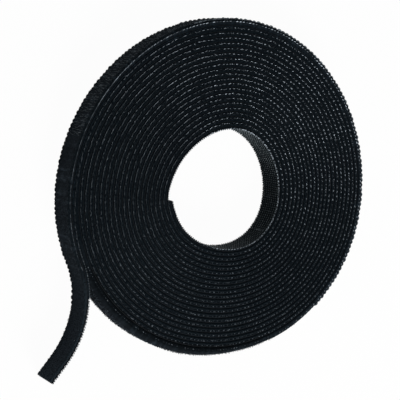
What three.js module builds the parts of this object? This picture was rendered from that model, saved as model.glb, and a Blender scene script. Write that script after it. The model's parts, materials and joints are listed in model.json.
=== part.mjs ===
// A coreless roll of narrow hook and loop tape, lying on its side, with its free end peeled away.
// The tape is a laminate: a hook tape on the inner side of each turn, a loop tape on the outer side
// and a bond film between them. Millimetres and degrees, +Z up, the tape's lower edge on z = 0.
import * as THREE from 'three';

// Driving dimensions of the tape
const TAPE_WIDTH = 10;
const HOOK_THICKNESS = 0.5;
const BOND_THICKNESS = 0.1;
const LOOP_THICKNESS = 0.52;
const BOND_CLEARANCE = 0.05;

// Driving dimensions of the winding: hooks and pile fill the gap between one turn and the next
const BORE_RADIUS = 20;
const WOUND_TURNS = 21.04;
const TURN_GAP = 0.47;
const INNER_END_ANGLE = 178;
const INNER_FLAP_ANGLE = 45;

// A hand-wound roll is a little out of round, and its last turn sits loosely
const OVAL_RISE = 0.56;
const OVAL_ANGLE = -7.5;
const LOBE_RISE = 0.52;
const LOBE_ANGLE = -48.7;
const LOBE_COUNT = 3;
const LAST_TURN_LIFT = 0.6;

// Driving dimensions of the free tail, which curls away from the roll and then runs straight
const TAIL_CURL_RADIUS = 32;
const TAIL_CURL_ANGLE = 62;
const TAIL_STRAIGHT = 7;
const TAIL_LINKS = ['tail_base', 'tail_middle', 'tail_tip'];

// The slit between two lengths of tape that bend against each other
const BEND_SLIT = 0.4;

// Fineness of the faceted strips, and of the points that the least gap is measured on
const STEPS_PER_TURN = 24;
const STEPS_PER_LINK = 5;
const GAP_POINTS_PER_STEP = 4;

const TAPE_THICKNESS = HOOK_THICKNESS + BOND_THICKNESS + LOOP_THICKNESS + 2 * BOND_CLEARANCE;
const TURN_PITCH = TAPE_THICKNESS + TURN_GAP;
const STEP_ANGLE = 360 / STEPS_PER_TURN;
const WOUND_STEPS = Math.round(WOUND_TURNS * STEPS_PER_TURN);
const FLAP_STEPS = Math.max(1, Math.round(INNER_FLAP_ANGLE / STEP_ANGLE));
const WOUND_ANGLE = WOUND_STEPS * STEP_ANGLE;
const FLAP_ANGLE = FLAP_STEPS * STEP_ANGLE;

// Each layer's lower and upper offset from the middle of the tape, towards its loop side
const HOOK_LOW = -TAPE_THICKNESS / 2;
const HOOK_HIGH = HOOK_LOW + HOOK_THICKNESS;
const BOND_LOW = HOOK_HIGH + BOND_CLEARANCE;
const BOND_HIGH = BOND_LOW + BOND_THICKNESS;
const LOOP_LOW = BOND_HIGH + BOND_CLEARANCE;
const LOOP_HIGH = LOOP_LOW + LOOP_THICKNESS;

const LAYERS = [
  { name: 'hook_tape', low: HOOK_LOW, high: HOOK_HIGH, color: 0x17191b, roughness: 0.6 },
  { name: 'bond_film', low: BOND_LOW, high: BOND_HIGH, color: 0x0b0c0d, roughness: 0.4 },
  { name: 'loop_tape', low: LOOP_LOW, high: LOOP_HIGH, color: 0x1a1d20, roughness: 0.9 },
];

const radians = THREE.MathUtils.degToRad;

// How far the winding stands out of round at a plan angle
function outOfRound(planAngle) {
  const oval = OVAL_RISE * Math.cos(2 * radians(planAngle - OVAL_ANGLE));
  const lobes = LOBE_RISE * Math.cos(LOBE_COUNT * radians(planAngle - LOBE_ANGLE));
  return oval + lobes;
}

// The middle of the tape's thickness at an angle wound from the inner end, and its outward direction
function woundStation(woundAngle) {
  const planAngle = INNER_END_ANGLE + woundAngle;
  const lastTurn = THREE.MathUtils.smoothstep(woundAngle, WOUND_ANGLE - 360, WOUND_ANGLE);
  const radius = BORE_RADIUS + TAPE_THICKNESS / 2 + TURN_PITCH * woundAngle / 360
    + outOfRound(planAngle) + LAST_TURN_LIFT * lastTurn;
  const out = new THREE.Vector2(Math.cos(radians(planAngle)), Math.sin(radians(planAngle)));
  return { point: out.clone().multiplyScalar(radius), out };
}

// The winding's stations between two wound angles: both ends and every whole step between them
function woundStations(fromAngle, toAngle) {
  const angles = [fromAngle];
  for (let step = Math.floor(fromAngle / STEP_ANGLE) + 1; step * STEP_ANGLE < toAngle; step += 1) {
    angles.push(step * STEP_ANGLE);
  }
  angles.push(toAngle);
  return angles.map(woundStation);
}

// The tail leaves the winding along its end's tangent and curls outwards, clockwise seen from above
const TAIL_CURL_LENGTH = TAIL_CURL_RADIUS * radians(TAIL_CURL_ANGLE);
const TAIL_LENGTH = TAIL_CURL_LENGTH + TAIL_STRAIGHT;
const TANGENT_STEP = 0.01;
const tailStart = woundStation(WOUND_ANGLE).point;
const tailHeading = tailStart.clone().sub(woundStation(WOUND_ANGLE - TANGENT_STEP).point).angle();

// The middle of the tape's thickness at a distance along the tail from the peel line
function tailStation(distance) {
  const curled = Math.min(distance, TAIL_CURL_LENGTH);
  const heading = tailHeading - curled / TAIL_CURL_RADIUS;
  const along = new THREE.Vector2(Math.cos(heading), Math.sin(heading));
  const point = new THREE.Vector2(
    tailStart.x + TAIL_CURL_RADIUS * (Math.sin(tailHeading) - along.y),
    tailStart.y + TAIL_CURL_RADIUS * (along.x - Math.cos(tailHeading)),
  ).addScaledVector(along, distance - curled);
  return { point, out: new THREE.Vector2(along.y, -along.x) };
}

// The tail's stations between two distances, in equal steps
function tailStations(fromDistance, toDistance) {
  return Array.from({ length: STEPS_PER_LINK + 1 }, (_, step) => (
    tailStation(THREE.MathUtils.lerp(fromDistance, toDistance, step / STEPS_PER_LINK))));
}

// A closed strip of rectangular section through the stations, between two offsets from their middle
function stripGeometry(stations, low, high) {
  const corners = [[low, 0], [high, 0], [high, TAPE_WIDTH], [low, TAPE_WIDTH]];
  const positions = stations.flatMap(({ point, out }) => corners.flatMap(([offset, z]) => (
    [point.x + out.x * offset, point.y + out.y * offset, z])));
  const sides = corners.length;
  const last = (stations.length - 1) * sides;
  const index = [0, 1, 2, 0, 2, 3, last, last + 2, last + 1, last, last + 3, last + 2];
  for (let ring = 0; ring < last; ring += sides) {
    for (let side = 0; side < sides; side += 1) {
      const a = ring + side;
      const b = ring + (side + 1) % sides;
      index.push(a, a + sides, b + sides, a, b + sides, b);
    }
  }
  const geometry = new THREE.BufferGeometry();
  geometry.setAttribute('position', new THREE.Float32BufferAttribute(positions, 3));
  geometry.setIndex(index);
  geometry.computeVertexNormals();
  return geometry;
}

// One length of tape: its hook tape, bond film and loop tape as three separate strips
function tapeLength(name, stations) {
  const length = new THREE.Group();
  for (const { name: layer, low, high, color, roughness } of LAYERS) {
    const material = new THREE.MeshStandardMaterial({ color, roughness, metalness: 0 });
    const strip = new THREE.Mesh(stripGeometry(stations, low, high), material);
    strip.name = `${name}_${layer}`;
    length.add(strip);
  }
  return length;
}

// The point of a station's face on the loop side or the hook side, where a bend turns
const facePoint = ({ point, out }, offset) => point.clone().addScaledVector(out, offset);

// Points along one face of the winding, on the facets between its stations
function facePoints(stations, offset) {
  const corners = stations.map((station) => facePoint(station, offset));
  return corners.slice(1).flatMap((corner, step) => (
    Array.from({ length: GAP_POINTS_PER_STEP }, (_, part) => (
      corners[step].clone().lerp(corner, part / GAP_POINTS_PER_STEP)))));
}

// The least distance between the outer face of any turn and the inner face of a later one
function leastTurnGap(stations) {
  const outer = facePoints(stations, LOOP_HIGH);
  const inner = facePoints(stations, HOOK_LOW);
  const halfTurn = GAP_POINTS_PER_STEP * STEPS_PER_TURN / 2;
  let least = Infinity;
  outer.forEach((point, at) => {
    inner.slice(at + halfTurn).forEach((other) => {
      least = Math.min(least, point.distanceTo(other));
    });
  });
  return least;
}

// The inner end, the wound roll and the links of the tail, parted by slits where the tape bends
const flapHinge = woundStation(FLAP_ANGLE);
const halfSlitAngle = THREE.MathUtils.radToDeg(BEND_SLIT / 2 / flapHinge.point.length());
const rollStations = woundStations(FLAP_ANGLE + halfSlitAngle, WOUND_ANGLE);
const roll = new THREE.Group();
roll.add(tapeLength('inner_end', woundStations(0, FLAP_ANGLE - halfSlitAngle)));
roll.add(tapeLength('roll', rollStations));

const hinges = [{ name: 'inner_end', point: facePoint(flapHinge, HOOK_LOW) }];
TAIL_LINKS.forEach((name, link) => {
  const from = TAIL_LENGTH * link / TAIL_LINKS.length;
  const to = TAIL_LENGTH * (link + 1) / TAIL_LINKS.length;
  roll.add(tapeLength(name, tailStations(from + BEND_SLIT, to)));
  hinges.push({ name, point: facePoint(tailStation(from + BEND_SLIT / 2), LOOP_HIGH) });
});

// The origin is at the middle of the object's underside
const object = new THREE.Group();
const middle = new THREE.Box3().setFromObject(roll).getCenter(new THREE.Vector3());
roll.position.set(-middle.x, -middle.y, 0);
object.add(roll);

const woundLength = rollStations.slice(1).reduce((sum, { point }, step) => (
  sum + point.distanceTo(rollStations[step].point)), 0);
console.log(`roll axis at ${(-middle.x).toFixed(3)}, ${(-middle.y).toFixed(3)}`);
console.log(`wound length ${woundLength.toFixed(0)}, free tail ${TAIL_LENGTH.toFixed(1)}`);
console.log(`least gap between turns ${leastTurnGap(rollStations).toFixed(3)}`);
for (const { name, point } of hinges) {
  console.log(`${name} bends at ${(point.x - middle.x).toFixed(3)}, ${(point.y - middle.y).toFixed(3)}`);
}

export default object;
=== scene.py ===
"""A coreless roll of narrow black hook and loop tape, lying on its side with a short free tail.

The tape is a laminate: a hook tape on the inner side of each turn, a loop tape with its soft pile on the
outer side, and a bond film between them. Each stretch of tape is swept along the winding's own line, and
its selvedge yarns, hooks and pile are set along that line. Metres, +Z up, in the frame of the solids.
"""

import json
import logging
import math
from collections.abc import Sequence
from dataclasses import dataclass
from enum import Enum
from typing import Any

import bpy
import numpy as np
from mathutils import Matrix, Vector


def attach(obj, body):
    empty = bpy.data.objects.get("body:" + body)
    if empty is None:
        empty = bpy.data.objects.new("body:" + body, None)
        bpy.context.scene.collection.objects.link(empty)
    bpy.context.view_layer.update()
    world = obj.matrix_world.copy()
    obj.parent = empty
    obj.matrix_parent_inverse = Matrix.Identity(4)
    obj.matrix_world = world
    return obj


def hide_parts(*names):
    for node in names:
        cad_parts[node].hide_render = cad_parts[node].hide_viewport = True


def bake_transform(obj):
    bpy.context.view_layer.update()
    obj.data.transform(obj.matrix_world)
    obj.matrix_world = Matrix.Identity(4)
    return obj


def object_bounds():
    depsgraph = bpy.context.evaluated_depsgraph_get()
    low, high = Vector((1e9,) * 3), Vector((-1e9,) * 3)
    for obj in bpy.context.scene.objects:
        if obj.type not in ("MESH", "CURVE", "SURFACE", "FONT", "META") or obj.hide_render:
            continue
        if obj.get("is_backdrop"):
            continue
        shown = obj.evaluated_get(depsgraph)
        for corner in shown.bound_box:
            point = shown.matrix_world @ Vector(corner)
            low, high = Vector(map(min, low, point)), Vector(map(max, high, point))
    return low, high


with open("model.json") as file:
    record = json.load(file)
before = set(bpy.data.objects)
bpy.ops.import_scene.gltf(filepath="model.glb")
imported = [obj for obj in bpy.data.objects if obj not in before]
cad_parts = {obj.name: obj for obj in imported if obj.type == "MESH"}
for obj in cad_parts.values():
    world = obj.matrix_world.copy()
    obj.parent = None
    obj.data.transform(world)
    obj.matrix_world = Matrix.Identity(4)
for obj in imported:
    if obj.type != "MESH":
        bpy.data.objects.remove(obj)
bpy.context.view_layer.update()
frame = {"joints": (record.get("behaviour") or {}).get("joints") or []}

MM = 0.001
LOG = logging.getLogger("tape_roll")

Colour = tuple[float, float, float]
Triple = tuple[float, float, float]
Reach = tuple[float, float]
Steps = tuple[tuple[float, float], ...]
WHITE = (1.0, 1.0, 1.0, 1.0)


class Layer(Enum):
    """The three layers of the tape, by the name that their solids and material slots share."""

    HOOK = "hook_tape"
    BOND = "bond_film"
    LOOP = "loop_tape"


class Edge(Enum):
    """The two selvedges of the tape: the way each faces along Z."""

    UPPER = 1.0
    LOWER = -1.0


class Follows(Enum):
    """What a row or field of yarn keeps to: the tape, the top of its pile, or the turn below a lifted one."""

    TAPE = "tape"
    PILE = "pile"
    TURN_BELOW = "turn below"


class Side(Enum):
    """The two faces of the tape: the way each faces from the middle of its thickness."""

    LOOP = 1.0
    HOOK = -1.0


@dataclass(frozen=True)
class TapeSection:
    """The sizes of the tape's section, and of the pile and hooks that stand on it."""

    width: float = 10 * MM
    hook_thickness: float = 0.5 * MM
    bond_thickness: float = 0.1 * MM
    loop_thickness: float = 0.52 * MM
    bond_clearance: float = 0.05 * MM
    turn_gap: float = 0.47 * MM
    pile_bed: float = 0.46 * MM
    selvedge: float = 0.12 * MM
    film_inset: float = 0.3 * MM

    @property
    def thickness(self) -> float:
        """The thickness of the laminate without its hooks and pile."""
        layers = self.hook_thickness + self.bond_thickness + self.loop_thickness
        return layers + 2 * self.bond_clearance

    @property
    def pitch(self) -> float:
        """The distance from one turn to the next."""
        return self.thickness + self.turn_gap

    def offsets(self, layer: Layer) -> tuple[float, float]:
        """Gives a layer's place in the thickness.

        Args:
            layer: the layer of the laminate.

        Returns:
            Its lower and upper offset from the middle of the tape, towards the loop side.
        """
        hook_low = -self.thickness / 2
        hook_high = hook_low + self.hook_thickness
        bond_low = hook_high + self.bond_clearance
        bond_high = bond_low + self.bond_thickness
        loop_low = bond_high + self.bond_clearance
        loop_high = loop_low + self.loop_thickness + self.pile_bed
        return {
            Layer.HOOK: (hook_low, hook_high),
            Layer.BOND: (bond_low, bond_high),
            Layer.LOOP: (loop_low, loop_high),
        }[layer]

    def face(self, side: Side) -> float:
        """The offset of the laminate's face on one side, under its hooks or pile."""
        return side.value * self.thickness / 2


@dataclass(frozen=True)
class Winding:
    """The line that the middle of the tape follows, from its inner end to the tip of its tail.

    A wave is a count of rises round the roll and the weights of its cosine and its sine in millimetres, each
    weight a polynomial of the share of the way out from the roll's middle turn. The free pile's rise and the
    shoulder's limit go by the angle past the peel line, and the tail's pile by the distance past it.
    """

    tape: TapeSection
    bore_radius: float = 20 * MM
    wound_angle: float = 7575.0
    inner_end_angle: float = 178.0
    flap_angle: float = 45.0
    waves: tuple[tuple[int, tuple[float, ...], tuple[float, ...]], ...] = (
        (0, (-0.084, -0.501, 0.295, 0.592), (0.0,)),
        (1, (0.051, -0.047, 0.055, 0.188), (0.225, -0.011, -0.053, 0.046)),
        (2, (0.62, 0.19, -0.008, 0.052), (-0.238, -0.124, 0.017, -0.01)),
        (3, (-0.461, 0.152, -0.043, -0.029), (-0.222, -0.029, -0.047, -0.069)))
    wave_middle: float = 38 * MM
    wave_reach: float = 18 * MM
    wave_limits: tuple[float, float] = (-1.0, 0.72)
    dent_rise: float = 0.6 * MM
    dent_angle: float = 174.0
    dent_width: float = 11.0
    dent_turns: float = 4.0
    last_turn_lift: float = 0.74 * MM
    lift_sharpness: float = 3.0
    tail_curl_radius: float = 32 * MM
    tail_curl_angle: float = 62.0
    tail_straight: float = 7 * MM
    tail_links: int = 3
    free_turn: float = 366.0
    free_pile: Steps = (
        (-free_turn, 0.0), (-352, 1.7 * MM), (-330, 1.98 * MM), (-310, 2.05 * MM), (-296, 1.66 * MM),
        (-285, 1.28 * MM), (-270, 1.15 * MM), (-250, 0.96 * MM), (-220, 0.92 * MM), (-190, 0.84 * MM),
        (-160, 1.07 * MM), (-130, 1.06 * MM), (-100, 0.88 * MM), (-70, 0.55 * MM), (-50, 0.38 * MM),
        (0, 0.4 * MM))
    shoulder: Steps = ((-free_turn, 0.5 * MM), (-275, 0.5 * MM), (-260, 2 * MM))
    tail_pile: Steps = ((0.0, 0.4 * MM), (10 * MM, -0.1 * MM))
    settled_end: float = 16 * MM
    fade_delay: float = 0.5
    bend_slit: float = 0.4 * MM
    table_step: float = 0.25
    heading_probe: float = 0.01

    def radius(self, wound: np.ndarray) -> np.ndarray:
        """Gives the distance from the roll's axis to the middle of the tape.

        Args:
            wound: angles in degrees, wound from the inner end.

        Returns:
            The radius at each angle.
        """
        true = self.bore_radius + self.tape.thickness / 2 + self.tape.pitch * wound / 360
        return true + self.drift(wound, true) + self.dent(wound) + self.lift(wound)

    def drift(self, wound: np.ndarray, radius: np.ndarray) -> np.ndarray:
        """Gives how far uneven winding moves the turns: waves round the roll that change from turn to turn.

        Args:
            wound: angles in degrees, wound from the inner end.
            radius: the radius of a true spiral at each angle.

        Returns:
            The distance outwards at each angle.
        """
        plan = np.radians(self.inner_end_angle + wound)
        share = np.clip((radius - self.wave_middle) / self.wave_reach, *self.wave_limits)
        total = np.zeros_like(share)
        for count, cosines, sines in self.waves:
            total += np.cos(count * plan) * np.polyval(cosines[::-1], share)
            total += np.sin(count * plan) * np.polyval(sines[::-1], share)
        return total * MM

    def dent(self, wound: np.ndarray) -> np.ndarray:
        """Gives how far the inner end has pushed the turns round it outwards, less from turn to turn."""
        aside = (self.inner_end_angle + wound - self.dent_angle + 180) % 360 - 180
        return self.dent_rise * np.exp(-(aside / self.dent_width) ** 2 - wound / (360 * self.dent_turns))

    def lift(self, wound: np.ndarray) -> np.ndarray:
        """Gives how far the last turn stands off the one below it, most of it close to the peel line."""
        last = np.clip((wound - self.wound_angle) / 360 + 1, 0, 1)
        return self.last_turn_lift * (last * last * (3 - 2 * last)) ** self.lift_sharpness

    def wound_points(self, wound: np.ndarray) -> np.ndarray:
        """Gives the middle of the tape, from the roll's axis, at angles wound from the inner end."""
        plan = np.radians(self.inner_end_angle + wound)
        return self.radius(wound)[:, None] * np.stack([np.cos(plan), np.sin(plan)], 1)

    def tail_points(self, distance: np.ndarray) -> np.ndarray:
        """Gives the middle of the tape, from the roll's axis, at distances along the tail.

        Args:
            distance: distances from the peel line.

        Returns:
            A point for each distance.
        """
        probe = np.array([self.wound_angle - self.heading_probe, self.wound_angle])
        before, start = self.wound_points(probe)
        first = math.atan2(start[1] - before[1], start[0] - before[0])
        curled = np.minimum(distance, self.curl_length)
        heading = first - curled / self.tail_curl_radius
        along = np.stack([np.cos(heading), np.sin(heading)], 1)
        arc = np.stack([math.sin(first) - along[:, 1], along[:, 0] - math.cos(first)], 1)
        return start + self.tail_curl_radius * arc + along * (distance - curled)[:, None]

    @property
    def curl_length(self) -> float:
        """The length of the tail's curled part."""
        return self.tail_curl_radius * math.radians(self.tail_curl_angle)

    @property
    def tail_length(self) -> float:
        """The length of the free tail."""
        return self.curl_length + self.tail_straight


class TapeLine:
    """The winding's line by distance along the tape, set in the frame of the solids."""

    PROBE = 0.05 * MM

    def __init__(self, winding: Winding, peel_hinge: Vector) -> None:
        """Measures the line and finds the roll's axis.

        Args:
            winding: the rule that the line follows.
            peel_hinge: the place of the hinge that the tail peels at, on the tape's loop face.
        """
        self.winding = winding
        self._angles = np.arange(0, winding.wound_angle + winding.table_step / 2, winding.table_step)
        steps = np.diff(winding.wound_points(self._angles), axis=0)
        self._lengths = np.concatenate([[0], np.cumsum(np.hypot(steps[:, 0], steps[:, 1]))])
        self.axis = np.zeros(2)
        hinge = self.place(self.tail_bend(0), winding.tape.face(Side.LOOP), 0.0)
        self.axis = np.array(peel_hinge.xy) - hinge[:2]

    @property
    def wound_length(self) -> float:
        """The length of tape in the roll, up to the peel line."""
        return float(self._lengths[-1])

    @property
    def length(self) -> float:
        """The whole length of the tape."""
        return self.wound_length + self.winding.tail_length

    def at_angle(self, wound: float) -> float:
        """The distance along the tape at an angle wound from the inner end."""
        return float(np.interp(wound, self._angles, self._lengths))

    def before_peel(self, angle: float) -> float:
        """The distance along the tape at an angle wound before the peel line."""
        return self.at_angle(self.winding.wound_angle - angle)

    def tail_bend(self, link: int) -> float:
        """The distance along the tape of the bend before one of the tail's links."""
        share = self.winding.tail_length * link / self.winding.tail_links
        return self.wound_length + share + self.winding.bend_slit / 2

    def middle(self, along: np.ndarray) -> np.ndarray:
        """Gives the middle of the tape's thickness in plan.

        Args:
            along: distances along the tape from its inner end.

        Returns:
            A plan point for each distance.
        """
        wound = self.winding.wound_points(np.interp(along, self._lengths, self._angles))
        tail = self.winding.tail_points(np.maximum(along - self.wound_length, 0))
        return np.where((along > self.wound_length)[:, None], tail, wound) + self.axis

    def outward(self, along: np.ndarray) -> np.ndarray:
        """Gives the level direction from the middle of the tape towards its loop side.

        Args:
            along: distances along the tape from its inner end.

        Returns:
            A direction of length 1 for each distance.
        """
        ahead = self.middle(along + self.PROBE) - self.middle(along - self.PROBE)
        ahead /= np.linalg.norm(ahead, axis=1)[:, None]
        return np.column_stack([ahead[:, 1], -ahead[:, 0], np.zeros(len(along))])

    def points(self, along: np.ndarray, offset: float | np.ndarray, height: float) -> np.ndarray:
        """Gives points beside the middle of the tape.

        Args:
            along: distances along the tape from its inner end.
            offset: how far the points lie from the middle, towards the loop side.
            height: how far they lie above the surface that the roll rests on.

        Returns:
            A point in the frame for each distance.
        """
        level = np.column_stack([self.middle(along), np.full(len(along), height)])
        return level + np.reshape(offset, (-1, 1)) * self.outward(along)

    def pile_rise(self, along: np.ndarray) -> np.ndarray:
        """Gives how far the pile stands up where no turn, or only the loose last one, presses on it.

        Args:
            along: distances along the tape from its inner end.

        Returns:
            The rise of the pile above its pressed bed at each distance.
        """
        winding = self.winding
        wound = np.interp(along, self._lengths, self._angles)
        room = winding.radius(wound + 360) - winding.radius(wound) - winding.tape.pitch
        under = room * (wound < winding.wound_angle - 360)
        free = np.interp(wound - winding.wound_angle, *zip(*winding.free_pile))
        pressed = wound < winding.wound_angle - winding.free_turn
        tail = np.interp(along - self.wound_length, *zip(*winding.tail_pile))
        wound_rise = np.where(pressed, under, np.maximum(under, free))
        return np.where(along > self.wound_length, tail, wound_rise)

    def edge_rise(self, along: np.ndarray) -> np.ndarray:
        """Gives how far the pile stands up at the selvedges, which stay lower where the last turn starts.

        Args:
            along: distances along the tape from its inner end.

        Returns:
            The rise of the selvedges' pile above its pressed bed at each distance.
        """
        wound = np.interp(along, self._lengths, self._angles) - self.winding.wound_angle
        limit = np.interp(wound, *zip(*self.winding.shoulder))
        limit[(wound < -self.winding.free_turn) | (along > self.wound_length)] = math.inf
        return np.minimum(self.pile_rise(along), limit)

    def settled(self, along: np.ndarray) -> np.ndarray:
        """Gives the last turn's lift above the turn below it, which fades out before the peel line.

        Args:
            along: distances along the tape from its inner end.

        Returns:
            The lift at each distance.
        """
        winding = self.winding
        wound = np.interp(along, self._lengths, self._angles)
        fade = np.clip((self.wound_length - along) / winding.settled_end - winding.fade_delay, 0, 1)
        return winding.lift(wound) * fade

    def place(self, along: float, offset: float, height: float) -> np.ndarray:
        """One point beside the middle of the tape."""
        return self.points(np.array([along]), offset, height)[0]


@dataclass(frozen=True)
class Stretch:
    """A stretch of tape that one body carries, or that bends between two of them.

    The bend runs between two distances along the tape, and a stretch on one body has none.
    """

    name: str
    start: float
    end: float
    bodies: tuple[str, ...]
    bend: Reach | None = None

    @property
    def length(self) -> float:
        """The length of the stretch."""
        return self.end - self.start

    def overlap(self, reach: Reach) -> Reach:
        """The part of a reach along the tape that lies in the stretch."""
        return max(self.start, reach[0]), min(self.end, reach[1])

    def hold(self, piece: bpy.types.Object, line: TapeLine) -> None:
        """Makes a finished piece on one body move with that body; a piece on a bend is only baked into its
        place.

        Args:
            piece: the finished piece, with its place in its mesh.
            line: the tape's line, which gives the ends of the bend.
        """
        if self.bend is None:
            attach(piece, self.bodies[0])
            return
        start, end = (line.place(along, 0.0, 0.0) for along in self.bend)
        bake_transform(piece)


class ShaderGraph:
    """Adds and links the nodes of one material around its Principled shader."""

    TAIL_PAINTED_LIGHT = 1.4
    STREAK = 2.2 * MM
    STREAK_GAIN = 2.6
    STREAK_RANGE = (0.45, 0.7)
    PATCH_RANGE = (0.4, 0.6)
    COLOUR_INPUTS = (6, 7)
    COLOUR_OUTPUT = 2

    def __init__(self, name: str) -> None:
        """Starts a material with its default shader.

        Args:
            name: the material's name.
        """
        self.material = bpy.data.materials.new(name)
        self.material.use_nodes = True
        self.tree = self.material.node_tree
        self.shader = self.tree.nodes["Principled BSDF"]

    def node(self, kind: str, inputs: dict[str | int, Any] | None = None, **settings: Any) -> bpy.types.Node:
        """Adds a node.

        Args:
            kind: the node's type.
            inputs: values or sockets for its inputs, by name or place.
            settings: values for its other properties.

        Returns:
            The node.
        """
        return add_node(self.tree, kind, inputs or {}, settings)

    def math(self, operation: str, first: Any, second: Any = 0.0) -> bpy.types.NodeSocket:
        """Adds a Math node and gives its result."""
        return self.node("ShaderNodeMath", {0: first, 1: second}, operation=operation).outputs[0]

    def spread(self, value: bpy.types.NodeSocket, low: float, high: float,
               start: float = 0.0, stop: float = 1.0) -> bpy.types.NodeSocket:
        """Maps a value from one range, 0 to 1 unless given, onto another."""
        return self.node("ShaderNodeMapRange", {0: value, 1: start, 2: stop, 3: low, 4: high}).outputs[0]

    def tint(self, value: bpy.types.NodeSocket, dark: Colour, light: Colour) -> bpy.types.NodeSocket:
        """Maps a value from 0 to 1 onto two colours."""
        return self.mix(value, (*dark, 1.0), (*light, 1.0))

    def mix(self, share: bpy.types.NodeSocket, first: Any, second: Any) -> bpy.types.NodeSocket:
        """Mixes two colours.

        Args:
            share: the second colour's share, from 0 to 1.
            first: the first colour, with its alpha or as a socket.
            second: the second colour, with its alpha or as a socket.

        Returns:
            The mixed colour.
        """
        colours = dict(zip(self.COLOUR_INPUTS, (first, second)))
        mixed = self.node("ShaderNodeMix", {0: share, **colours}, data_type="RGBA")
        return mixed.outputs[self.COLOUR_OUTPUT]

    def scaled(self, colour: bpy.types.NodeSocket, gain: bpy.types.NodeSocket) -> bpy.types.NodeSocket:
        """Multiplies a colour by a number."""
        return self.node("ShaderNodeVectorMath", {0: colour, "Scale": gain}, operation="SCALE").outputs[0]

    def paler(self, colour: bpy.types.NodeSocket) -> bpy.types.NodeSocket:
        """Makes a colour paler in streaks across the last turn, where the nap is raised, and on the whole
        tail as a painted light.

        Args:
            colour: the plain colour.

        Returns:
            The paler colour.
        """
        bands = self.noise(self.STREAK, 1.0, self.attribute("along"))
        bands = self.spread(bands, 0.0, 1.0, *self.STREAK_RANGE)
        patches = self.spread(self.noise(self.STREAK), 0.0, 1.0, *self.PATCH_RANGE)
        streaks = self.math("MULTIPLY", self.math("MULTIPLY", bands, self.attribute("free")), patches)
        tail = self.attribute("tail")
        streaks = self.math("MULTIPLY", streaks, self.spread(tail, 1.0, 0.0))
        # painted light: the colour is raised on the tail
        gain = self.math("MULTIPLY", self.spread(streaks, 1.0, self.STREAK_GAIN),
                         self.spread(tail, 1.0, self.TAIL_PAINTED_LIGHT))
        return self.scaled(colour, gain)

    def noise(self, size: float, detail: float = 2.0, vector: Any = None) -> bpy.types.NodeSocket:
        """Adds noise.

        Args:
            size: the size of its patches.
            detail: how many finer layers it has.
            vector: where it is read, Object coordinates unless given.

        Returns:
            The noise, from 0 to 1.
        """
        if vector is None:
            vector = self.node("ShaderNodeTexCoord").outputs["Object"]
        settings = {"Vector": vector, "Scale": 1 / size, "Detail": detail}
        return self.node("ShaderNodeTexNoise", settings).outputs["Fac"]

    def attribute(self, name: str) -> bpy.types.NodeSocket:
        """Reads a number that the mesh holds."""
        return self.node("ShaderNodeAttribute", attribute_name=name).outputs["Fac"]

    def bump(self, height: bpy.types.NodeSocket, depth: float, strength: float) -> None:
        """Raises the surface by a height from 0 to 1."""
        settings = {"Height": height, "Distance": depth, "Strength": strength}
        self.join(self.node("ShaderNodeBump", settings).outputs["Normal"], "Normal")

    def join(self, value: bpy.types.NodeSocket, name: str) -> None:
        """Links a value to the shader's input of that name."""
        self.tree.links.new(value, self.shader.inputs[name])

    def set(self, **values: Any) -> None:
        """Sets constants on the shader's own inputs, with _ for a space in a name."""
        for name, value in values.items():
            self.shader.inputs[name.replace("_", " ")].default_value = value


def add_node(tree: bpy.types.NodeTree, kind: str, inputs: dict[str | int, Any],
             settings: dict[str, Any]) -> bpy.types.Node:
    """Adds a node to a tree.

    Args:
        tree: the tree.
        kind: the node's type.
        inputs: values or sockets for its inputs, by name or place.
        settings: values for its other properties.

    Returns:
        The node.
    """
    node = tree.nodes.new(kind)
    for name, value in settings.items():
        setattr(node, name, value)
    for name, value in inputs.items():
        if isinstance(value, bpy.types.NodeSocket):
            tree.links.new(value, node.inputs[name])
        else:
            node.inputs[name].default_value = value
    return node


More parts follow.
